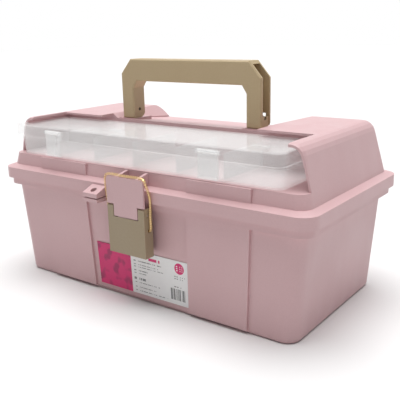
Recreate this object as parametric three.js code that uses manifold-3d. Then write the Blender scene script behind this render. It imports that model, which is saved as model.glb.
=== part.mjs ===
// Pink plastic sewing box with a tan carrying handle, a draw latch, a clear slide-out
// organizer in the lid and a lift-out tray in the tub. Millimetres, +Z up, front faces -Y,
// the origin is on the resting face under the middle of the tub.
import * as THREE from 'three';
import { mergeVertices } from 'three/addons/utils/BufferGeometryUtils.js';
import Module from 'manifold-3d';

const wasm = await Module();
wasm.setup();

// ---- driving dimensions -------------------------------------------------------------
const LENGTH = 363;            // over the lid skirt, along X
const DEPTH = 184;             // over the lid skirt, along Y
const WALL = 2.4;              // tub and lid wall
const GAP = 0.35;              // between pieces that touch
const FIT = 0.3;               // around pins

const PANEL_IN = 61;           // the front panels stand proud between these two
const PANEL_OUT = 125;
const PANEL_PROUD = 2.2;

const TUB = { halfX: 170.5, halfY: 84.5, corner: 14, top: 96, edge: 3.5 };
const TUB_DRAFT = { x: 0.042, y: 0.04 };      // how much narrower the bottom is, as a share
const BAND = { halfX: 177.6, halfY: 88.2, corner: 13, bottom: 96, top: 111 };
const LEDGE_TOP = BAND.bottom + WALL;

const SKIRT = { halfX: LENGTH / 2, halfY: DEPTH / 2, corner: 15.5, bottom: 103, top: 114 };
const RIM_RISE = 2.6;          // the rim slopes up this much ...
const RIM_WIDTH = 8;           // ... over this width
const RIM_UNDER = 111.6;       // underside of the rim, just above the tub's edge

const HUMP = { halfX: 173.5, halfY: 83.6, corner: 11, base: 116.5, top: 165, edge: 9 };
const HUMP_DRAFT = { x: 0.23, y: 0.17 };     // mm in per mm up
const HOOD = 2;                // thickness of the end hoods over the organizer's space
const HOOD_FRONT = -71;        // where the hoods' cut front edges stand
const SHELF = 128.4;           // the organizer stands on this
const POCKET_BACK = -8;        // rear of the organizer's space
const MOUTH = { halfX: 150, rear: -26, innerX: 95 };   // the roof is open in front of this
const STRIP = { halfX: 88.5, front: 160.4, rear: 151.5, rearY: 72, flare: 1.4 };
const FRONT_PANEL_Y = -84.6;   // face of the lid's two low front panels
const FAR = 200;               // past every face, for blocks that only cut

const HANDLE = {
  outer: 85.2, inner: 69, top: 221.5, under: 199.5, bottom: 160.5,
  chamferX: 13.2, chamferZ: 15, hipX: 5, hipZ: 7.5, depth: 18, wall: 3,
};
const HANDLE_PIVOT = { y: 6, z: 169.5 };
const LUG = { x0: 75, x1: 80.6, radius: 3.4 };
const CHEEK = { x0: 81.2, x1: 84.4, top: 171 };   // closes the foot outside the lug
const HANDLE_PIN_RADIUS = 1.6;

const LATCH = { x: 3.6, halfX: 22, front: -100.4, sheet: 1.8, back: -89.6, bottom: 53.5, top: 98.9 };
const LATCH_PIVOT = { y: -95.6, z: 93 };
const LATCH_SWEEP = 7;         // the lever's top stays inside this radius of its pivot
const LATCH_PIN_RADIUS = 1.2;
const LATCH_LUG = { x: 11, halfThick: 2, radius: 2.6 };
const TONGUE = { halfX: 14, bottom: 88.8 };
const CATCH = { bottom: 100, top: 125.2, corner: 4 };
const GUSSET = { x: 12, halfThick: 1.5 };     // two webs that carry the catch plate
const WIRE = 1.3;              // radius of the latch wire
const BAIL = {
  halfX: 23.9, pivotY: -94.5, pivotZ: 78.5, topY: -99.1, bend: 4,
  leftY: -98.4, rightY: -94.2, foot: 4.8,
};

const HINGE = { y: 98, z: 103, x: 110, radius: 4.6, pin: 1.5, middle: 11, outer: 22 };

const BOX = { x: -4.6, halfX: 155.1, front: -80.6, back: -14.2, corner: 8, wall: 1.6 };
const BOX_BOTTOM = SHELF + GAP;
const BOX_SEAM = 146.6;
const BOX_TOP = 158.4;
const BOX_FLANGE = 1;          // lid and body rim stand proud of the body
const BOX_DRAFT = { x: 0.004, y: 0.03 };
const DIVIDERS = [-100, -50, 0, 50, 100];     // from the organizer's middle
const PULL_TAB = { reach: 4.3, y0: -79.5, y1: -72, top: 159.8 };   // at the organizer lid's left end
const BOX_HINGE = { y: -10.4, z: 146.8, radius: 1.9, pin: 0.9, x: 90, width: 8 };
const CLASP = { left: -104, right: 84, halfX: 10, y: -84.5, z: 154.2, bottom: 131.5, radius: 2, bar: 0.9 };

const TRAY = { halfX: 171.5, halfY: 83.4, corner: 13, rimBottom: LEDGE_TOP + GAP, rim: 2.2 };
const TRAY_WELL = { halfX: 165, halfY: 79, corner: 11, bottom: 64, wall: 2 };
const TRAY_GRIP = { y: 12, halfX: 38, top: 121, thick: 6 };
const TRAY_DRAFT = { x: 0.02, y: 0.03 };
const TRAY_CROSS = 55;         // the rear cells' cross walls stand this far from the middle

const LABEL = { x0: -54, x1: 60, z0: 7.8, z1: 51.3, thick: 0.4 };
const PADLOCK = { x0: -45, x1: -27, reach: -105, hole: 3, holeY: -99.5, bottom: 98.6, slope: 7.5 };

// ---- helpers ------------------------------------------------------------------------
function solid(geometry) {
  geometry.deleteAttribute('normal');
  geometry.deleteAttribute('uv');
  const merged = mergeVertices(geometry, 1e-4);
  return new wasm.Manifold(new wasm.Mesh({
    numProp: 3,
    vertProperties: new Float32Array(merged.attributes.position.array),
    triVerts: new Uint32Array(merged.index.array),
  }));
}

function geometryOf(manifold) {
  const mesh = manifold.getMesh();
  const geometry = new THREE.BufferGeometry();
  geometry.setAttribute('position', new THREE.BufferAttribute(mesh.vertProperties, 3));
  geometry.setIndex(new THREE.BufferAttribute(mesh.triVerts, 1));
  return geometry;
}

function join(pieces) {
  return pieces.reduce((whole, piece) => whole.add(piece));
}

function cut(whole, pieces) {
  return pieces.reduce((rest, piece) => rest.subtract(piece), whole);
}

// Two X values on one side of the middle, the lower one first.
function span(side, near, far) {
  return [side * near, side * far].sort((a, b) => a - b);
}

function block(x0, x1, y0, y1, z0, z1) {
  const geometry = new THREE.BoxGeometry(x1 - x0, y1 - y0, z1 - z0);
  geometry.translate((x0 + x1) / 2, (y0 + y1) / 2, (z0 + z1) / 2);
  return geometry;
}

function roundedPlan(halfX, halfY, corner) {
  const shape = new THREE.Shape();
  const x = halfX - corner;
  const y = halfY - corner;
  shape.moveTo(x, -halfY);
  shape.absarc(x, -y, corner, -Math.PI / 2, 0);
  shape.absarc(x, y, corner, 0, Math.PI / 2);
  shape.absarc(-x, y, corner, Math.PI / 2, Math.PI);
  shape.absarc(-x, -y, corner, Math.PI, 1.5 * Math.PI);
  return shape;
}

// An upright block with rounded corners; an edge rounds or slopes both of its ends.
function slab(halfX, halfY, corner, z0, z1, edge = null) {
  const settings = { depth: z1 - z0, bevelEnabled: false, curveSegments: 6 };
  if (edge) {
    settings.depth = z1 - z0 - 2 * edge.rise;
    settings.bevelEnabled = true;
    settings.bevelThickness = edge.rise;
    settings.bevelSize = edge.run;
    settings.bevelOffset = -edge.run;
    settings.bevelSegments = edge.steps;
  }
  const geometry = new THREE.ExtrudeGeometry(roundedPlan(halfX, halfY, corner), settings);
  geometry.translate(0, 0, z0 + (edge ? edge.rise : 0));
  return geometry;
}

function outline(points) {
  return new THREE.Shape(points.map(([u, v]) => new THREE.Vector2(u, v)));
}

// A prism whose outline is drawn in Y and Z and which runs along X.
function prismX(shape, x0, x1, settings = {}) {
  const geometry = new THREE.ExtrudeGeometry(
    shape, { depth: x1 - x0, bevelEnabled: false, curveSegments: 8, ...settings });
  const turn = new THREE.Matrix4().makeBasis(
    new THREE.Vector3(0, 1, 0), new THREE.Vector3(0, 0, 1), new THREE.Vector3(1, 0, 0));
  geometry.applyMatrix4(turn);
  geometry.translate(x0, 0, 0);
  return geometry;
}

// A prism whose outline is drawn in X and Z and which runs along Y.
function prismY(shape, y0, y1, settings = {}) {
  const geometry = new THREE.ExtrudeGeometry(
    shape, { depth: y1 - y0, bevelEnabled: false, curveSegments: 8, ...settings });
  const turn = new THREE.Matrix4().makeBasis(
    new THREE.Vector3(1, 0, 0), new THREE.Vector3(0, 0, 1), new THREE.Vector3(0, -1, 0));
  geometry.applyMatrix4(turn);
  geometry.translate(0, y1, 0);
  return geometry;
}

function rodX(radius, x0, x1, y, z, sides = 20) {
  const geometry = new THREE.CylinderGeometry(radius, radius, x1 - x0, sides);
  geometry.rotateZ(Math.PI / 2);
  geometry.translate((x0 + x1) / 2, y, z);
  return geometry;
}

// Moves every corner of a geometry by a rule.
function reshape(geometry, rule) {
  const position = geometry.attributes.position;
  const point = new THREE.Vector3();
  for (let i = 0; i < position.count; i += 1) {
    point.fromBufferAttribute(position, i);
    rule(point);
    position.setXYZ(i, point.x, point.y, point.z);
  }
  return geometry;
}

function tubDraft(point) {
  const down = Math.max(0, 1 - point.z / TUB.top);
  point.x *= 1 - TUB_DRAFT.x * down;
  point.y *= 1 - TUB_DRAFT.y * down;
}

const SIDES = [-1, 1];

// ---- tub ----------------------------------------------------------------------------
function tubMass() {
  const body = solid(slab(TUB.halfX, TUB.halfY, TUB.corner, 0, TUB.top + TUB.edge,
    { rise: TUB.edge, run: TUB.edge, steps: 3 }));
  const panels = SIDES.map((side) => {
    const x = span(side, PANEL_IN, PANEL_OUT);
    return solid(block(x[0], x[1], -TUB.halfY - PANEL_PROUD, 0, TUB.edge, TUB.top));
  });
  return solid(reshape(geometryOf(join([body, ...panels])), tubDraft));
}

function bandMass() {
  return solid(slab(BAND.halfX, BAND.halfY, BAND.corner, BAND.bottom, BAND.top));
}

function latchLug(middle) {
  const { y, z } = LATCH_PIVOT;
  const { radius } = LATCH_LUG;
  const shape = new THREE.Shape();
  shape.moveTo(-83, z - radius - 2);
  shape.lineTo(y, z - radius);
  shape.absarc(y, z, radius, -Math.PI / 2, -1.5 * Math.PI, true);
  shape.lineTo(-83, z + radius);
  return solid(prismX(shape, middle - LATCH_LUG.halfThick, middle + LATCH_LUG.halfThick));
}

function baseHingeKnuckle(x) {
  const barrel = solid(rodX(HINGE.radius, x - HINGE.middle, x + HINGE.middle, HINGE.y, HINGE.z));
  const arm = solid(prismX(outline([
    [TUB.halfY - 1, 92.5], [BAND.halfY + 1, 93.5], [HINGE.y + 1, HINGE.z - 4.4],
    [HINGE.y, HINGE.z - 0.6], [TUB.halfY - 1, HINGE.z - 0.6],
  ]), x - HINGE.middle, x + HINGE.middle));
  return barrel.add(arm);
}

function padlockTab(z0, z1, slope) {
  const shape = outline([[-86, z0], [PADLOCK.reach, z0], [PADLOCK.reach, z1 - slope], [-86, z1]]);
  const middle = (PADLOCK.x0 + PADLOCK.x1) / 2;
  const hole = new THREE.CylinderGeometry(PADLOCK.hole, PADLOCK.hole, 30, 18);
  hole.rotateX(Math.PI / 2);
  hole.translate(middle, PADLOCK.holeY, (z0 + z1) / 2);
  return cut(solid(prismX(shape, PADLOCK.x0, PADLOCK.x1)), [solid(hole)]);
}

function hingeBore(side) {
  return solid(rodX(HINGE.pin + FIT, side * HINGE.x - 30, side * HINGE.x + 30, HINGE.y, HINGE.z));
}

function baseTub() {
  const inner = solid(reshape(
    slab(TUB.halfX - WALL, TUB.halfY - WALL, TUB.corner - WALL, WALL, TUB.top + 10), tubDraft));
  const bandInner = solid(slab(
    BAND.halfX - WALL, BAND.halfY - WALL, BAND.corner - WALL, LEDGE_TOP, BAND.top + 5));
  const lugs = SIDES.map((side) => latchLug(LATCH.x + side * LATCH_LUG.x));
  const knuckles = SIDES.map((side) => baseHingeKnuckle(side * HINGE.x));
  const tab = padlockTab(PADLOCK.bottom, SKIRT.bottom - 0.6, 0.5);
  const outer = join([tubMass(), bandMass(), tab, ...knuckles]);
  const hollow = cut(outer, [inner, bandInner]);
  return cut(join([hollow, ...lugs]), [
    ...SIDES.map((side) => hingeBore(side)),
    solid(rodX(LATCH_PIN_RADIUS + FIT, LATCH.x - 20, LATCH.x + 20, LATCH_PIVOT.y, LATCH_PIVOT.z, 16)),
  ]);
}

// ---- lid ----------------------------------------------------------------------------
// The lid's raised body above its rim, with nothing cut away.
function raisedBody(inset) {
  const edge = HUMP.edge - inset;
  return solid(reshape(
    slab(HUMP.halfX - inset, HUMP.halfY - inset, HUMP.corner - inset, 95, HUMP.top - inset,
      { rise: edge, run: edge, steps: 4 }),
    (point) => {
      const up = point.z - HUMP.base;
      point.x *= 1 - HUMP_DRAFT.x * up / HUMP.halfX;
      point.y *= 1 - HUMP_DRAFT.y * up / HUMP.halfY;
    }));
}

// The low strip between the two humps, where the folded handle lies; its sides slope out.
function channel(inset) {
  const half = STRIP.halfX + inset;
  const floor = outline([
    [POCKET_BACK - 1, STRIP.front - inset], [STRIP.rearY, STRIP.rear - inset],
    [120, STRIP.rear - inset - 3], [120, FAR], [POCKET_BACK - 1, FAR],
  ]);
  return solid(reshape(prismX(floor, -half, half), (point) => {
    if (point.z === FAR) point.x *= 1 + STRIP.flare * (FAR - STRIP.front) / half;
  }));
}

function lidOutside() {
  const organizerSpace = raisedBody(HOOD).intersect(
    solid(block(-FAR, FAR, -FAR, POCKET_BACK, SHELF, FAR)));
  const { halfX, rear, innerX } = MOUTH;
  return cut(raisedBody(0), [
    organizerSpace,
    solid(block(-FAR, FAR, -FAR, HOOD_FRONT, SHELF, FAR)),
    solid(block(-halfX, halfX, -FAR, rear, SHELF + 20, FAR)),
    solid(block(-innerX, innerX, -FAR, POCKET_BACK, SHELF + 20, FAR)),
    channel(0),
  ]);
}

function lidHollow() {
  return cut(raisedBody(WALL), [
    solid(block(-FAR, FAR, -FAR, POCKET_BACK + WALL, SHELF - WALL, 200)), channel(WALL)]);
}

function skirtAndRim() {
  const outer = solid(slab(SKIRT.halfX, SKIRT.halfY, SKIRT.corner, 90, SKIRT.top + RIM_RISE,
    { rise: RIM_RISE, run: RIM_WIDTH, steps: 1 }));
  return outer.intersect(solid(block(-FAR, FAR, -FAR, FAR, SKIRT.bottom, 140)));
}

function frontPanels() {
  return SIDES.map((side) => {
    const x = span(side, PANEL_IN, PANEL_OUT);
    return solid(block(x[0], x[1], FRONT_PANEL_Y, -81, SKIRT.top, SHELF - 0.4));
  });
}

function catchBlock() {
  const { front, sheet, halfX } = LATCH;
  const radius = CATCH.corner;
  const plate = new THREE.Shape();
  plate.moveTo(-TONGUE.halfX, TONGUE.bottom);
  plate.lineTo(TONGUE.halfX, TONGUE.bottom);
  plate.lineTo(TONGUE.halfX, CATCH.bottom);
  plate.lineTo(halfX, CATCH.bottom);
  plate.absarc(halfX - radius, CATCH.top - radius, radius, 0, Math.PI / 2);
  plate.absarc(-halfX + radius, CATCH.top - radius, radius, Math.PI / 2, Math.PI);
  plate.lineTo(-halfX, CATCH.bottom);
  plate.lineTo(-TONGUE.halfX, CATCH.bottom);
  const gusset = outline([
    [front + sheet / 2, SKIRT.bottom + 1], [-90, SKIRT.bottom + 1], [-90, SKIRT.top],
    [-82.6, SKIRT.top], [-82.6, SHELF - 0.5], [front + 3.6, CATCH.top - 0.4],
    [front + sheet / 2, CATCH.top - 3.5],
  ]);
  const gussets = SIDES.map((side) => {
    const x = span(side, GUSSET.x - GUSSET.halfThick, GUSSET.x + GUSSET.halfThick);
    return solid(prismX(gusset, x[0], x[1]));
  });
  return join([solid(prismY(plate, front, front + sheet)), ...gussets])
    .translate([LATCH.x, 0, 0]);
}

function lidKnuckles() {
  const rods = [];
  for (const side of SIDES) {
    for (const end of SIDES) {
      const near = side * HINGE.x + end * (HINGE.middle + 0.4);
      const far = side * HINGE.x + end * HINGE.outer;
      const x = [near, far].sort((a, b) => a - b);
      rods.push(solid(rodX(HINGE.radius, x[0], x[1], HINGE.y, HINGE.z)));
      rods.push(solid(prismX(outline([
        [SKIRT.halfY - 1, HINGE.z + 0.6], [HINGE.y, HINGE.z + 0.6], [HINGE.y + 2, 107],
        [SKIRT.halfY + 1, 112], [SKIRT.halfY - 1, 112],
      ]), x[0], x[1])));
    }
  }
  return rods;
}

function handleSeats() {
  const pieces = [];
  const y0 = HANDLE_PIVOT.y - HANDLE.depth / 2;
  for (const side of SIDES) {
    const x = span(side, HANDLE.inner - 2.6, HANDLE.outer + 2.6);
    const seat = solid(block(x[0], x[1], y0 - 2.4, y0 + 24, 154, STRIP.front + 0.3));
    const well = span(side, HANDLE.inner - 0.6, HANDLE.outer + 0.6);
    const sunk = solid(block(well[0], well[1], y0 - 0.6, y0 + 40, HANDLE.bottom - GAP, FAR));
    const lug = new THREE.Shape();
    lug.moveTo(HANDLE_PIVOT.y - LUG.radius, 152);
    lug.lineTo(HANDLE_PIVOT.y + LUG.radius, 152);
    lug.absarc(HANDLE_PIVOT.y, HANDLE_PIVOT.z, LUG.radius, 0, Math.PI);
    const lugX = span(side, LUG.x0, LUG.x1);
    pieces.push(cut(seat, [sunk]));
    pieces.push(solid(prismX(lug, lugX[0], lugX[1])));
  }
  return pieces;
}

function lidShell() {
  const under = solid(slab(SKIRT.halfX - 2.8, SKIRT.halfY - 2.8, SKIRT.corner - 2.8, 90, RIM_UNDER));
  const above = lidOutside().intersect(solid(block(-FAR, FAR, -FAR, FAR, RIM_UNDER, FAR)));
  const outer = join([above, skirtAndRim(), ...frontPanels()]);
  const hollow = cut(outer, [under, lidHollow()]);
  const tab = padlockTab(SKIRT.bottom, SKIRT.top + 0.5, PADLOCK.slope);
  const whole = join([hollow, catchBlock(), ...lidKnuckles(), ...handleSeats(),
    cut(tab, [under])]);
  return cut(whole, SIDES.flatMap((side) => [
    hingeBore(side),
    solid(rodX(HANDLE_PIN_RADIUS + FIT, ...span(side, HANDLE.inner, HANDLE.outer),
      HANDLE_PIVOT.y, HANDLE_PIVOT.z)),
  ]));
}

// ---- handle -------------------------------------------------------------------------
function handle() {
  const h = HANDLE;
  const half = [
    [h.outer, h.bottom], [h.outer, h.top - h.chamferZ], [h.outer - h.chamferX, h.top],
  ];
  const inside = [
    [h.inner - h.hipX, h.under], [h.inner, h.under - h.hipZ], [h.inner, h.bottom],
  ];
  const mirror = (points) => points.map(([x, z]) => [-x, z]).reverse();
  const bow = outline([...half, ...mirror(half), ...mirror(inside), ...inside]);
  const y0 = HANDLE_PIVOT.y - h.depth / 2;
  const y1 = HANDLE_PIVOT.y + h.depth / 2;
  const edge = 1.2;
  const body = solid(prismY(bow, y0, y1, {
    depth: h.depth - 2 * edge, bevelEnabled: true, bevelThickness: edge,
    bevelSize: edge, bevelOffset: -edge, bevelSegments: 1,
  }).translate(0, -edge, 0));
  const cuts = [];
  for (const side of SIDES) {
    const web = h.inner + h.wall;
    const end = h.outer - h.chamferX - 4.5;
    const channel = outline([
      [web, 150], [CHEEK.x0, 150], [CHEEK.x0, CHEEK.top], [100, CHEEK.top],
      [100, h.top - h.wall], [end, h.top - h.wall], [end, h.under + 7], [web, h.under - 1],
    ].map(([u, v]) => [side * u, v]));
    const rebate = span(side, CHEEK.x1, 100);
    const x = span(side, h.inner - 2, h.outer + 2);
    cuts.push(solid(prismY(channel, y0 + h.wall, y1 - h.wall)));
    cuts.push(solid(block(...rebate, y0 + h.wall, y1 - h.wall, 150, CHEEK.top + 1)));
    cuts.push(footRounding(x[0], x[1]));
    cuts.push(rearWallRelief(side));
    cuts.push(solid(rodX(HANDLE_PIN_RADIUS + FIT, x[0], x[1], HANDLE_PIVOT.y, HANDLE_PIVOT.z)));
  }
  return cut(body, cuts);
}

// The foot's rear corner turns about the pivot, so that the handle can fold backward.
function footRounding(x0, x1) {
  const { y, z } = HANDLE_PIVOT;
  const radius = HANDLE.depth / 2;
  const shape = new THREE.Shape();
  shape.moveTo(y, z - radius - 5);
  shape.lineTo(y, z - radius);
  shape.absarc(y, z, radius, -Math.PI / 2, 0);
  shape.lineTo(y + radius + 5, z);
  shape.lineTo(y + radius + 5, z - radius - 5);
  return solid(prismX(shape, x0, x1));
}

// Slots the foot's rear wall where the lid's lug stands once the handle is folded.
function rearWallRelief(side) {
  const { y, z } = HANDLE_PIVOT;
  return solid(block(...span(side, LUG.x0 - 0.5, CHEEK.x0), y, y + 20, 150, z + LUG.radius + 0.8));
}

// ---- draw latch ---------------------------------------------------------------------
function latchLever() {
  const { halfX, front, back, bottom, top, sheet } = LATCH;
  const { y, z } = LATCH_PIVOT;
  const body = solid(block(-halfX, halfX, front, back, bottom, top));
  const inside = solid(block(-halfX + sheet + 0.4, halfX - sheet - 0.4, front + sheet, 0,
    bottom + sheet, FAR));
  const keep = new THREE.Shape();
  keep.moveTo(front - 1, bottom - 1);
  keep.lineTo(back + 1, bottom - 1);
  keep.lineTo(back + 1, z - 3);
  keep.lineTo(y + LATCH_SWEEP, z);
  keep.absarc(y, z, LATCH_SWEEP, 0, Math.PI);
  keep.lineTo(front - 1, z);
  const turned = body.intersect(solid(prismX(keep, -30, 30, { curveSegments: 14 })));
  const notch = TONGUE.halfX + 0.8;
  return cut(turned, [
    inside,
    solid(block(-notch, notch, -110, y, z, 120)),
    solid(rodX(6.8, -notch, notch, y, z, 32)),
    solid(rodX(LATCH_PIN_RADIUS + FIT, -30, 30, y, z, 16)),
    solid(rodX(WIRE + FIT, -30, 30, BAIL.pivotY, BAIL.pivotZ, 16)),
  ]).translate([LATCH.x, 0, 0]);
}

// The wire hooks over the catch; its left leg runs nearer the front than its right one.
function latchBail() {
  const { halfX, pivotY, pivotZ, topY, bend, leftY, rightY, foot } = BAIL;
  const topZ = CATCH.top + GAP + WIRE;
  const leg = (side, middleY) => [
    [side * (halfX - foot), pivotY, pivotZ], [side * (halfX - 2), pivotY, pivotZ],
    [side * (halfX - 0.4), pivotY, pivotZ + 0.4], [side * halfX, pivotY, pivotZ + 2],
    [side * halfX, pivotY + 0.4 * (middleY - pivotY), pivotZ + 12],
    [side * halfX, middleY, topZ - 18], [side * halfX, topY, topZ - bend],
    [side * (halfX - 0.3 * bend), topY, topZ - 0.3 * bend], [side * (halfX - bend), topY, topZ],
  ];
  const points = [...leg(-1, leftY), [0, topY, topZ], ...leg(1, rightY).reverse()];
  const path = new THREE.CatmullRomCurve3(
    points.map((p) => new THREE.Vector3(...p)), false, 'centripetal');
  const round = new THREE.Shape();
  round.absarc(0, 0, WIRE, 0, 2 * Math.PI);
  return solid(new THREE.ExtrudeGeometry(round, {
    steps: 72, curveSegments: 5, bevelEnabled: false, extrudePath: path,
  })).translate([LATCH.x, 0, 0]);
}

// ---- organizer ----------------------------------------------------------------------
const BOX_MIDDLE = (BOX.front + BOX.back) / 2;
const BOX_HALF_Y = (BOX.back - BOX.front) / 2;

function boxSlab(grow, z0, z1, edge = null) {
  return slab(BOX.halfX + grow, BOX_HALF_Y + grow, BOX.corner + grow, z0, z1, edge)
    .translate(BOX.x, BOX_MIDDLE, 0);
}

function boxKnuckle(x0) {
  const { y, z, radius, width } = BOX_HINGE;
  return solid(rodX(radius, x0, x0 + width, y, z, 14));
}

function boxHinges(shift, z0, z1) {
  const { x, width, y } = BOX_HINGE;
  return SIDES.flatMap((side) => {
    const start = side * x + shift;
    return [boxKnuckle(start),
      solid(block(start, start + width, BOX.back - 1, y, z0, z1))];
  });
}

function pinHoles(radius) {
  const { x, y, z, width } = BOX_HINGE;
  return SIDES.map((side) => solid(rodX(radius, side * x - 2 * width, side * x + 2 * width, y, z, 14)));
}

function organizerBody() {
  const draft = (point) => {
    const share = Math.max(0, (BOX_SEAM - point.z) / (BOX_SEAM - BOX_BOTTOM));
    point.x = BOX.x + (point.x - BOX.x) * (1 - BOX_DRAFT.x * share);
    point.y = BOX_MIDDLE + (point.y - BOX_MIDDLE) * (1 - BOX_DRAFT.y * share);
  };
  const outer = solid(reshape(boxSlab(0, BOX_BOTTOM, BOX_SEAM), draft));
  const inner = solid(reshape(boxSlab(-BOX.wall, BOX_BOTTOM + BOX.wall, BOX_SEAM + 2), draft));
  const flange = solid(boxSlab(BOX_FLANGE, BOX_SEAM - 1.8, BOX_SEAM));
  const knuckles = boxHinges(-BOX_HINGE.width - 0.2, BOX_SEAM - 2, BOX_SEAM);
  return cut(join([outer, flange, ...knuckles]), [inner, ...pinHoles(BOX_HINGE.pin + FIT)]);
}

function organizerLid() {
  const z0 = BOX_SEAM + GAP;
  const outer = solid(boxSlab(BOX_FLANGE, z0 - 8, BOX_TOP, { rise: 2, run: 2, steps: 2 }))
    .intersect(solid(block(-FAR, FAR, -FAR, FAR, z0, FAR)));
  const inner = solid(boxSlab(BOX_FLANGE - BOX.wall, z0 - 5, BOX_TOP - BOX.wall));
  const knuckles = boxHinges(0.2, z0, z0 + 2);
  const end = BOX.x - BOX.halfX - BOX_FLANGE;
  const { reach, y0, y1, top } = PULL_TAB;
  const tab = solid(block(end - reach, end + 5, y0, y1, z0, top));
  const ears = claspPlaces().flatMap((x) => SIDES.map((side) => {
    const near = x + side * (CLASP.halfX + 0.5);
    const far = x + side * (CLASP.halfX + 2.5);
    const ends = [near, far].sort((a, b) => a - b);
    return solid(block(ends[0], ends[1], CLASP.y - 1.2, BOX.front, CLASP.z - 1.6, CLASP.z + 1.4));
  }));
  const bars = claspPlaces().map((x) => solid(
    rodX(CLASP.bar, x - CLASP.halfX - 1, x + CLASP.halfX + 1, CLASP.y, CLASP.z, 12)));
  return cut(join([outer, tab, ...knuckles]), [inner, ...pinHoles(BOX_HINGE.pin + FIT)])
    .add(join([...ears, ...bars]));
}

function claspPlaces() {
  return [CLASP.left, CLASP.right];
}

function organizerClasp(x) {
  const { halfX, y, z, bottom, radius, bar } = CLASP;
  const plate = solid(block(x - halfX, x + halfX, y - 1, y + 0.9, bottom, z));
  const grip = solid(block(x - halfX, x + halfX, y - 2.4, y, bottom, bottom + 1.8));
  const barrel = solid(rodX(radius, x - halfX, x + halfX, y, z, 16));
  return cut(join([plate, grip, barrel]), [solid(rodX(bar + FIT, x - 2 * halfX, x + 2 * halfX, y, z, 12))]);
}

function organizerDivider(x) {
  const z0 = BOX_BOTTOM + BOX.wall + GAP;
  const y0 = BOX.front + BOX.wall + 1.6;
  const y1 = BOX.back - BOX.wall - 1.6;
  return solid(block(x - 0.7, x + 0.7, y0, y1, z0, BOX_SEAM + 6));
}

function organizerHingePin(side) {
  const { x, y, z, width, pin } = BOX_HINGE;
  return solid(rodX(pin, side * x - width, side * x + width, y, z, 12));
}

// ---- lift-out tray ------------------------------------------------------------------
function liftOutTray() {
  const { halfX, halfY, corner, bottom, wall } = TRAY_WELL;
  const rimTop = TRAY.rimBottom + TRAY.rim;
  const rim = solid(slab(TRAY.halfX, TRAY.halfY, TRAY.corner, TRAY.rimBottom, rimTop));
  const draft = (point) => {
    const share = Math.max(0, (rimTop - point.z) / (rimTop - bottom));
    point.x *= 1 - TRAY_DRAFT.x * share;
    point.y *= 1 - TRAY_DRAFT.y * share;
  };
  const well = solid(reshape(slab(halfX, halfY, corner, bottom, rimTop), draft));
  const inner = solid(reshape(
    slab(halfX - wall, halfY - wall, corner - wall, bottom + wall, rimTop + 5), draft));
  const tall = rimTop - 1.5;
  const spine = solid(block(-halfX + 1, halfX - 1, TRAY_GRIP.y - 1, TRAY_GRIP.y + 1, bottom + 1, tall));
  const walls = [-TRAY_CROSS, TRAY_CROSS].map((x) => solid(
    block(x - 1, x + 1, TRAY_GRIP.y, halfY - 1, bottom + 1, tall)));
  const fence = join([spine, ...walls]).intersect(
    solid(reshape(slab(halfX - 1, halfY - 1, corner - 1, bottom + 1, rimTop), draft)));
  return cut(join([rim, well]), [inner]).add(fence).add(trayGrip(bottom + 1));
}

function trayGrip(z0) {
  const { y, halfX, top, thick } = TRAY_GRIP;
  const bow = outline([[-halfX - 8, z0], [-halfX, top], [halfX, top], [halfX + 8, z0]]);
  const gap = outline([
    [-halfX + 3, 99], [-halfX + 4, top - 8], [halfX - 4, top - 8], [halfX - 3, 99]]);
  return cut(solid(prismY(bow, y - thick / 2, y + thick / 2)),
    [solid(prismY(gap, y - thick, y + thick))]);
}

// ---- label --------------------------------------------------------------------------
function frontLabel() {
  const { x0, x1, z0, z1, thick } = LABEL;
  const face = -TUB.halfY - GAP;
  const sheet = outline([[x0, z0], [x1, z0], [x1, z1], [x0, z1]]);
  return solid(reshape(prismY(sheet, face - thick, face), tubDraft));
}

// ---- assembly -----------------------------------------------------------------------
const PINK = { color: 0xc9a3a6, roughness: 0.5, metalness: 0 };
const TAN = { color: 0x9d8d6c, roughness: 0.55, metalness: 0 };
const CLEAR = { color: 0xe4e7e4, roughness: 0.15, metalness: 0, transparent: true, opacity: 0.4 };
const BRASS = { color: 0xd9b36a, roughness: 0.25, metalness: 1 };
const STEEL = { color: 0xb4b4b4, roughness: 0.35, metalness: 1 };
const PAPER = { color: 0xd9d6d4, roughness: 0.7, metalness: 0 };

const box = new THREE.Group();

function addPart(name, manifold, look) {
  const mesh = new THREE.Mesh(geometryOf(manifold), new THREE.MeshStandardMaterial(look));
  mesh.name = name;
  box.add(mesh);
}

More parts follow.
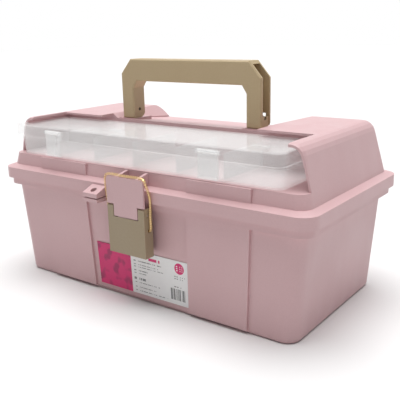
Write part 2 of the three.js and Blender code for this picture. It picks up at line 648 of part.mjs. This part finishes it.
addPart('base_tub', baseTub(), PINK);
addPart('lid_shell', lidShell(), PINK);
addPart('handle', handle(), TAN);
addPart('latch_lever', latchLever(), TAN);
addPart('latch_bail', latchBail(), BRASS);
addPart('latch_pivot_pin', solid(
  rodX(LATCH_PIN_RADIUS, LATCH.x - LATCH.halfX + 0.3, LATCH.x + LATCH.halfX - 0.3,
    LATCH_PIVOT.y, LATCH_PIVOT.z, 16)), STEEL);
addPart('organizer_body', organizerBody(), CLEAR);
addPart('organizer_lid', organizerLid(), CLEAR);
addPart('organizer_clasp_left', organizerClasp(CLASP.left), CLEAR);
addPart('organizer_clasp_right', organizerClasp(CLASP.right), CLEAR);
DIVIDERS.forEach((x, i) => {
  addPart(`organizer_divider_${i + 1}`, organizerDivider(BOX.x + x), CLEAR);
});
addPart('lift_out_tray', liftOutTray(), PINK);
addPart('front_label', frontLabel(), PAPER);
for (const [word, side] of [['left', -1], ['right', 1]]) {
  addPart(`hinge_pin_${word}`, solid(rodX(HINGE.pin, side * HINGE.x - HINGE.outer,
    side * HINGE.x + HINGE.outer, HINGE.y, HINGE.z)), STEEL);
  addPart(`handle_pivot_pin_${word}`, solid(rodX(HANDLE_PIN_RADIUS,
    ...span(side, HANDLE.inner + 1, CHEEK.x1 - 1), HANDLE_PIVOT.y, HANDLE_PIVOT.z)), STEEL);
  addPart(`organizer_hinge_pin_${word}`, organizerHingePin(side), STEEL);
}

export default box;
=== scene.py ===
"""Sewing box with trays: the looks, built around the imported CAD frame.

Metres, +Z up, front faces -Y.
"""

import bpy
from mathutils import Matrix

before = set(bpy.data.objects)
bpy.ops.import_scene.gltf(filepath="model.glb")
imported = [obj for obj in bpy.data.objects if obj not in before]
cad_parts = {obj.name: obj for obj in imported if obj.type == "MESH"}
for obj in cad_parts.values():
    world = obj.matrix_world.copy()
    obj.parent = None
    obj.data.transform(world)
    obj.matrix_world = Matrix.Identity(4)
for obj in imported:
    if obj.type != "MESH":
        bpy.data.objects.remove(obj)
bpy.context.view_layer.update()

import math

import bpy
from mathutils import Matrix, Vector

MM = 0.001

# ---- camera -------------------------------------------------------------------------
CAMERA_PLACE = (0.3765, -0.4877, 0.2525)
CAMERA_YAW = 36.78          # degrees, turned left of +Y
CAMERA_PITCH = 15.58        # degrees down
CAMERA_ROLL = -1.35         # degrees
CAMERA_LENS = 56.17         # millimetres
CAMERA_SENSOR = 36          # millimetres


def make_camera():
    yaw, pitch, roll = (math.radians(a) for a in (CAMERA_YAW, CAMERA_PITCH, CAMERA_ROLL))
    forward = Vector((
        -math.sin(yaw) * math.cos(pitch), math.cos(yaw) * math.cos(pitch), -math.sin(pitch)))
    level = Vector((math.cos(yaw), math.sin(yaw), 0))
    above = level.cross(forward)
    right = math.cos(roll) * level + math.sin(roll) * above
    up = -math.sin(roll) * level + math.cos(roll) * above
    data = bpy.data.cameras.new("camera")
    data.lens = CAMERA_LENS
    data.sensor_width = CAMERA_SENSOR
    camera = bpy.data.objects.new("camera", data)
    bpy.context.scene.collection.objects.link(camera)
    turn = Matrix((right, up, -forward)).transposed().to_4x4()
    camera.matrix_world = Matrix.Translation(CAMERA_PLACE) @ turn
    bpy.context.scene.camera = camera


# ---- floor and light ----------------------------------------------------------------
FLOOR_SIZE = 12
FLOOR_GREY = 0.84
SEEN_SKY = 1.0              # how bright the surroundings are where seen or mirrored
SKY = 0.17                  # how bright they are as a light
SUN = 3.5
SUN_SIZE = 55               # degrees across
SUN_TILT = (-3, -3)         # degrees about X and Y


def make_floor():
    bpy.ops.mesh.primitive_plane_add(size=FLOOR_SIZE, location=(0, 0, 0))
    floor = bpy.context.object
    floor.name = "floor"
    tools = Nodes("floor_pale")
    tools.shader["Base Color"].default_value = (FLOOR_GREY, FLOOR_GREY, FLOOR_GREY, 1)
    tools.shader["Roughness"].default_value = 0.9
    tools.shader["Specular IOR Level"].default_value = 0.1
    floor.data.materials.append(tools.material)


def make_surroundings():
    """A white studio: bright where it is seen or mirrored, dimmer as a light.

    This is a liberty: it keeps the background white without flooding the object with light.
    """
    world = bpy.data.worlds.new("studio")
    world.use_nodes = True
    nodes, links = world.node_tree.nodes, world.node_tree.links
    nodes.clear()
    seen = nodes.new("ShaderNodeBackground")
    seen.inputs["Strength"].default_value = SEEN_SKY
    light = nodes.new("ShaderNodeBackground")
    light.inputs["Strength"].default_value = SKY
    for node in (seen, light):
        node.inputs["Color"].default_value = (1, 1, 1, 1)
    path = nodes.new("ShaderNodeLightPath")
    either = nodes.new("ShaderNodeMath")
    either.operation = "MAXIMUM"
    mix = nodes.new("ShaderNodeMixShader")
    out = nodes.new("ShaderNodeOutputWorld")
    links.new(path.outputs["Is Camera Ray"], either.inputs[0])
    links.new(path.outputs["Is Glossy Ray"], either.inputs[1])
    links.new(either.outputs[0], mix.inputs[0])
    links.new(light.outputs[0], mix.inputs[1])
    links.new(seen.outputs[0], mix.inputs[2])
    links.new(mix.outputs[0], out.inputs["Surface"])
    bpy.context.scene.world = world


def make_stage():
    scene = bpy.context.scene
    scene.view_settings.view_transform = "Standard"
    make_floor()
    make_surroundings()
    sun = bpy.data.lights.new("overhead", "SUN")
    sun.energy = SUN
    sun.angle = math.radians(SUN_SIZE)
    lamp = bpy.data.objects.new("overhead", sun)
    lamp.rotation_euler = (math.radians(SUN_TILT[0]), math.radians(SUN_TILT[1]), 0)
    scene.collection.objects.link(lamp)


# ---- material tools -----------------------------------------------------------------
class Nodes:
    """A material and short ways to add nodes to it."""

    def __init__(self, name):
        self.material = bpy.data.materials.new(name)
        self.material.use_nodes = True
        self.tree = self.material.node_tree
        self.shader = self.tree.nodes["Principled BSDF"].inputs
        self.place = None

    def add(self, kind, **settings):
        node = self.tree.nodes.new(kind)
        for key, value in settings.items():
            setattr(node, key, value)
        return node

    def link(self, source, target):
        self.tree.links.new(source, target)

    def coordinates(self):
        if self.place is None:
            self.place = self.add("ShaderNodeTexCoord").outputs["Object"]
        return self.place

    def noise(self, scale, detail=2.0, stretch=(1, 1, 1)):
        """A 0..1 noise; scale counts patches per metre."""
        spread = self.add("ShaderNodeMapping")
        spread.inputs["Scale"].default_value = stretch
        self.link(self.coordinates(), spread.inputs["Vector"])
        node = self.add("ShaderNodeTexNoise")
        node.inputs["Scale"].default_value = scale
        node.inputs["Detail"].default_value = detail
        self.link(spread.outputs["Vector"], node.inputs["Vector"])
        return node.outputs["Fac"]

    def ramp(self, source, low, high, start=0.0, end=1.0):
        """Turns start..end into a value between low and high."""
        node = self.add("ShaderNodeMapRange")
        limits = {"From Min": start, "From Max": end, "To Min": low, "To Max": high}
        for key, value in limits.items():
            node.inputs[key].default_value = value
        self.link(source, node.inputs["Value"])
        return node.outputs["Result"]

    def math(self, operation, first, second, third=None):
        node = self.add("ShaderNodeMath", operation=operation)
        for value, socket in zip((first, second, third), node.inputs):
            if value is None:
                continue
            if isinstance(value, (int, float)):
                socket.default_value = value
            else:
                self.link(value, socket)
        return node.outputs[0]

    def mixed(self, share, first, second):
        """A colour between two, by a 0..1 value; each may be a colour or a socket."""
        node = self.add("ShaderNodeMix", data_type="RGBA")
        for key, value in (("A", first), ("B", second)):
            socket = next(s for s in node.inputs if s.name == key and s.type == "RGBA")
            if isinstance(value, tuple):
                socket.default_value = (*value, 1)
            else:
                self.link(value, socket)
        self.link(share, node.inputs[0])
        return next(s for s in node.outputs if s.type == "RGBA")

    def bump(self, height, strength, distance):
        node = self.add("ShaderNodeBump")
        node.inputs["Strength"].default_value = strength
        node.inputs["Distance"].default_value = distance
        self.link(height, node.inputs["Height"])
        self.link(node.outputs["Normal"], self.shader["Normal"])


# Noise sizes are patches per metre, bump depths are metres.
PLASTIC_CLOUDS, PLASTIC_SPECKS, PLASTIC_WEAR = 11.0, 700.0, 55.0
WEAR_STRETCH = (1, 1, 0.4)
PLASTIC_GRAINS = (950.0, 120.0)
PLASTIC_BUMP = (0.16, 0.0002)           # strength, depth
CLEAR_HAZE, CLEAR_SMEARS, CLEAR_WAVES = 16.0, 45.0, 28.0
CLEAR_BUMP = (0.12, 0.0006)
METAL_CLOUDS, METAL_SMEARS, METAL_GRAIN = 160.0, 320.0, 1500.0
METAL_BUMP = (0.1, 0.0001)
PAPER_FIBRES, PAPER_WAVES = 260.0, 60.0
PAPER_BUMP = (0.2, 0.0003)
MIDDLE = (0.3, 0.7)                     # the part of a noise that holds most of its change


def moulded(name, colour, darker, rough):
    """Satin moulded plastic: faint flow marks in the colour, fine grain in gloss and surface."""
    tools = Nodes(name)
    clouds = tools.noise(PLASTIC_CLOUDS, 3.0)
    specks = tools.ramp(tools.noise(PLASTIC_SPECKS, 1.0), 0.0, 0.35, *MIDDLE)
    share = tools.math("ADD", tools.ramp(clouds, 0.0, 0.65, *MIDDLE), specks)
    tools.link(tools.mixed(share, darker, colour), tools.shader["Base Color"])
    wear = tools.noise(PLASTIC_WEAR, 4.0, WEAR_STRETCH)
    gloss = tools.ramp(wear, rough - 0.07, rough + 0.09, *MIDDLE)
    tools.link(gloss, tools.shader["Roughness"])
    fine, coarse = PLASTIC_GRAINS
    grain = tools.math("ADD", tools.noise(fine, 2.0), tools.noise(coarse, 1.0))
    tools.bump(grain, *PLASTIC_BUMP)
    return tools.material


# A glow tuned to the photo's brightness, in place of the light that milky plastic scatters
# inside itself. It isn't a property of the plastic.
PAINTED_GLOW = 0.155
PAINTED_GLOW_TINT = (1.0, 0.955, 0.96, 1)
HAZE_DARK, HAZE_LIGHT = (0.88, 0.89, 0.885), (0.98, 0.985, 0.98)
PLASTIC_IOR = 1.5


def clear_plastic(name, facing, grazing):
    """Clear polypropylene, slightly milky, with faint waves and a painted glow.

    It is as opaque as facing says where it faces the viewer, and grazing at a low angle.
    """
    tools = Nodes(name)
    haze = tools.noise(CLEAR_HAZE, 2.0)
    tools.link(tools.mixed(haze, HAZE_DARK, HAZE_LIGHT), tools.shader["Base Color"])
    weight = tools.add("ShaderNodeLayerWeight")
    tools.link(tools.ramp(weight.outputs["Facing"], facing, grazing), tools.shader["Alpha"])
    tools.shader["IOR"].default_value = PLASTIC_IOR
    # A painted glow: emission standing in for light scattered inside the plastic.
    tools.shader["Emission Color"].default_value = PAINTED_GLOW_TINT
    tools.shader["Emission Strength"].default_value = PAINTED_GLOW
    tools.link(tools.ramp(tools.noise(CLEAR_SMEARS, 3.0), 0.1, 0.2), tools.shader["Roughness"])
    tools.bump(tools.noise(CLEAR_WAVES, 2.0), *CLEAR_BUMP)
    return tools.material


def metal(name, colour, rough):
    """Metal with cloudy changes of colour and gloss, and a very fine grain."""
    tools = Nodes(name)
    tools.shader["Metallic"].default_value = 1.0
    duller = tuple(0.8 * c for c in colour)
    clouds = tools.noise(METAL_CLOUDS, 3.0)
    tools.link(tools.mixed(clouds, duller, colour), tools.shader["Base Color"])
    gloss = tools.noise(METAL_SMEARS, 3.0)
    tools.link(tools.ramp(gloss, rough - 0.08, rough + 0.1), tools.shader["Roughness"])
    tools.bump(tools.noise(METAL_GRAIN), *METAL_BUMP)
    return tools.material


# ---- the label's print: plain blocks, bars and stripes, with no words or marks ----------
MAGENTA = (0.66, 0.018, 0.155)
MAGENTA_DARK = (0.36, 0.015, 0.1)
PAPER_WHITE = (0.88, 0.875, 0.87)
INK = (0.2, 0.2, 0.2)
TEXT_ROWS = (               # height, left end, right end and half the thickness, millimetres
    (41.3, -5.8, 28, 0.5), (37.8, -5.8, 24, 0.35), (35.4, -5.8, 30, 0.35),
    (31.6, -5.8, 11, 0.5), (28.9, -5.8, 9, 0.35), (23.2, -6.2, 8, 1.2),
    (19.4, -5.4, 25, 0.35), (14.6, -5.4, 20, 0.35), (11.0, -5.2, 34, 0.35),
    (35.8, 43, 55.5, 0.4), (33.6, 43, 54, 0.4), (25.5, 42, 51, 0.5),
)
TITLE = (45.6, 13, 26.5, 1.4)           # as in TEXT_ROWS
BARCODE = (17.8, 38, 56.5, 5.6)         # as in TEXT_ROWS
BADGE = (49.1, 43.9, 5.4)               # middle x and z, radius
BADGE_ROWS = (-2, 0, 2)                 # heights from its middle
BADGE_ROW_REACH, BADGE_ROW_HALF = 3.6, 0.5
LABEL_SPLIT = -9.3                      # the coloured part is left of this
BEYOND_LABEL = 200                      # far enough to cover the whole label
WORD_CELL, WORD_GAPS = 0.8, 0.35        # width of a strip, share of strips left blank
STRIPE_CELL, STRIPE_GAPS = 0.45, 0.34
LETTER_CELL, LETTER_GAPS = 1.9, 0.3


class LabelPrint:
    """Masks over the label, worked out from its own X and Z in millimetres."""

    def __init__(self, tools):
        self.tools = tools
        split = tools.add("ShaderNodeSeparateXYZ")
        tools.link(tools.coordinates(), split.inputs[0])
        self.x = tools.math("MULTIPLY", split.outputs[0], 1 / MM)
        self.z = tools.math("MULTIPLY", split.outputs[2], 1 / MM)

    def bar(self, height, left, right, half):
        tools = self.tools
        across = tools.math("COMPARE", self.x, (left + right) / 2, (right - left) / 2)
        up = tools.math("COMPARE", self.z, height, half)
        return tools.math("MULTIPLY", across, up)

    def cells(self, size):
        """A random 0..1 value for each upright strip of the given width."""
        tools = self.tools
        strip = tools.math("FLOOR", tools.math("DIVIDE", self.x, size), 0)
        node = tools.add("ShaderNodeTexWhiteNoise", noise_dimensions="1D")
        tools.link(strip, node.inputs["W"])
        return node.outputs["Value"]

    def disc(self, x, z, radius):
        tools = self.tools
        dx = tools.math("POWER", tools.math("SUBTRACT", self.x, x), 2.0)
        dz = tools.math("POWER", tools.math("SUBTRACT", self.z, z), 2.0)
        return tools.math("LESS_THAN", tools.math("ADD", dx, dz), radius ** 2)


def label_paper():
    tools = Nodes("label_paper")
    mask = LabelPrint(tools)
    fibres = tools.noise(PAPER_FIBRES, 3.0)
    greyer = tuple(0.93 * c for c in PAPER_WHITE)
    white = tools.mixed(fibres, greyer, PAPER_WHITE)
    words = tools.math("GREATER_THAN", mask.cells(WORD_CELL), WORD_GAPS)
    colour = white
    for row in TEXT_ROWS:
        colour = tools.mixed(tools.math("MULTIPLY", mask.bar(*row), words), colour, INK)
    stripes = tools.math("GREATER_THAN", mask.cells(STRIPE_CELL), STRIPE_GAPS)
    colour = tools.mixed(tools.math("MULTIPLY", mask.bar(*BARCODE), stripes), colour, INK)
    letters = tools.math("GREATER_THAN", mask.cells(LETTER_CELL), LETTER_GAPS)
    colour = tools.mixed(tools.math("MULTIPLY", mask.bar(*TITLE), letters), colour, MAGENTA)
    x, z, radius = BADGE
    colour = tools.mixed(mask.disc(x, z, radius), colour, MAGENTA)
    for step in BADGE_ROWS:
        row = mask.bar(z + step, x - BADGE_ROW_REACH, x + BADGE_ROW_REACH, BADGE_ROW_HALF)
        colour = tools.mixed(tools.math("MULTIPLY", row, words), colour, PAPER_WHITE)
    pattern = tools.ramp(tools.noise(95.0, 1.0), 0.0, 1.0, 0.5, 0.62)
    flood = tools.mixed(pattern, MAGENTA, MAGENTA_DARK)
    left_part = mask.bar(0, -BEYOND_LABEL, LABEL_SPLIT, BEYOND_LABEL)
    colour = tools.mixed(left_part, colour, flood)
    tools.link(colour, tools.shader["Base Color"])
    tools.link(tools.ramp(fibres, 0.38, 0.5), tools.shader["Roughness"])
    tools.bump(tools.noise(PAPER_WAVES, 3.0), *PAPER_BUMP)
    return tools.material


# ---- shapes -------------------------------------------------------------------------
FLAT_ANGLE = 0.6            # degrees; faces that meet at less are merged
EDGE_ANGLE = 28             # degrees; edges sharper than this are rounded
EDGE_SEGMENTS = 2


def soften(node, width):
    """Rounds a CAD node's edges: flat areas are merged first, so that the bevel runs clean."""
    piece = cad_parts[node]
    merge = piece.modifiers.new("merge flats", "DECIMATE")
    merge.decimate_type = "DISSOLVE"
    merge.angle_limit = math.radians(FLAT_ANGLE)
    bevel = piece.modifiers.new("soft edges", "BEVEL")
    bevel.width = width
    bevel.segments = EDGE_SEGMENTS
    bevel.limit_method = "ANGLE"
    bevel.angle_limit = math.radians(EDGE_ANGLE)
    bevel.use_clamp_overlap = True
    bevel.harden_normals = True


def rounded_wire(node):
    """A finer, smooth surface for a bent wire."""
    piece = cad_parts[node]
    finer = piece.modifiers.new("finer", "SUBSURF")
    finer.levels = finer.render_levels = 1
    for face in piece.data.polygons:
        face.use_smooth = True


def dress(node, material):
    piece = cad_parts[node]
    piece.data.materials.clear()
    piece.data.materials.append(material)


make_camera()
make_stage()

PINK_LIGHT, PINK_DARK = (0.665, 0.44, 0.453), (0.62, 0.4, 0.414)
PINK = moulded("pink_shell", PINK_LIGHT, PINK_DARK, 0.42)
PINK_TRAY = moulded("pink_tray", PINK_LIGHT, PINK_DARK, 0.46)
TAN = moulded("tan_handle", (0.51, 0.395, 0.232), (0.455, 0.345, 0.198), 0.44)
# The latch lever's tan is a darker copy of the handle's tan: painted shade on the lever.
TAN_PAINTED_SHADE = moulded("tan_latch_painted_shade", (0.36, 0.285, 0.185), (0.325, 0.25, 0.158), 0.44)
CLEAR_LID = clear_plastic("clear_lid", 0.17, 0.33)
CLEAR_BODY = clear_plastic("clear_body", 0.13, 0.4)
CLEAR_CLASP = clear_plastic("clear_clasp", 0.15, 0.5)
BRASS = metal("brass_wire", (0.83, 0.6, 0.29), 0.24)
STEEL = metal("steel_pin", (0.6, 0.6, 0.6), 0.35)
# A near-black copy of the steel for the handle's pins: painted shade, so they read as sitting in
# shadow.
STEEL_PAINTED_SHADE = metal("steel_pin_painted_shade", (0.1, 0.09, 0.08), 0.5)

MOULDINGS = (               # node, material, edge rounding in millimetres
    ("base_tub", PINK, 0.5), ("lid_shell", PINK, 0.6), ("lift_out_tray", PINK_TRAY, 0.5),
    # the latch lever takes the darker tan, which is painted shade
    ("handle", TAN, 1.0), ("latch_lever", TAN_PAINTED_SHADE, 0.5),
)
PIN_ROUNDING = 0.2
CLEAR_ROUNDING = 0.35

for name, material, width in MOULDINGS:
    dress(name, material)
    soften(name, width * MM)
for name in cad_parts:
    if "pin" in name:
        # the handle's pins take the near-black steel, which is painted shade
        dress(name, STEEL_PAINTED_SHADE if "handle" in name else STEEL)
        soften(name, PIN_ROUNDING * MM)
    elif name.startswith("organizer"):
        clear = CLEAR_CLASP if "clasp" in name else CLEAR_LID if "lid" in name else CLEAR_BODY
        dress(name, clear)
        soften(name, CLEAR_ROUNDING * MM)
dress("latch_bail", BRASS)
rounded_wire("latch_bail")
dress("front_label", label_paper())
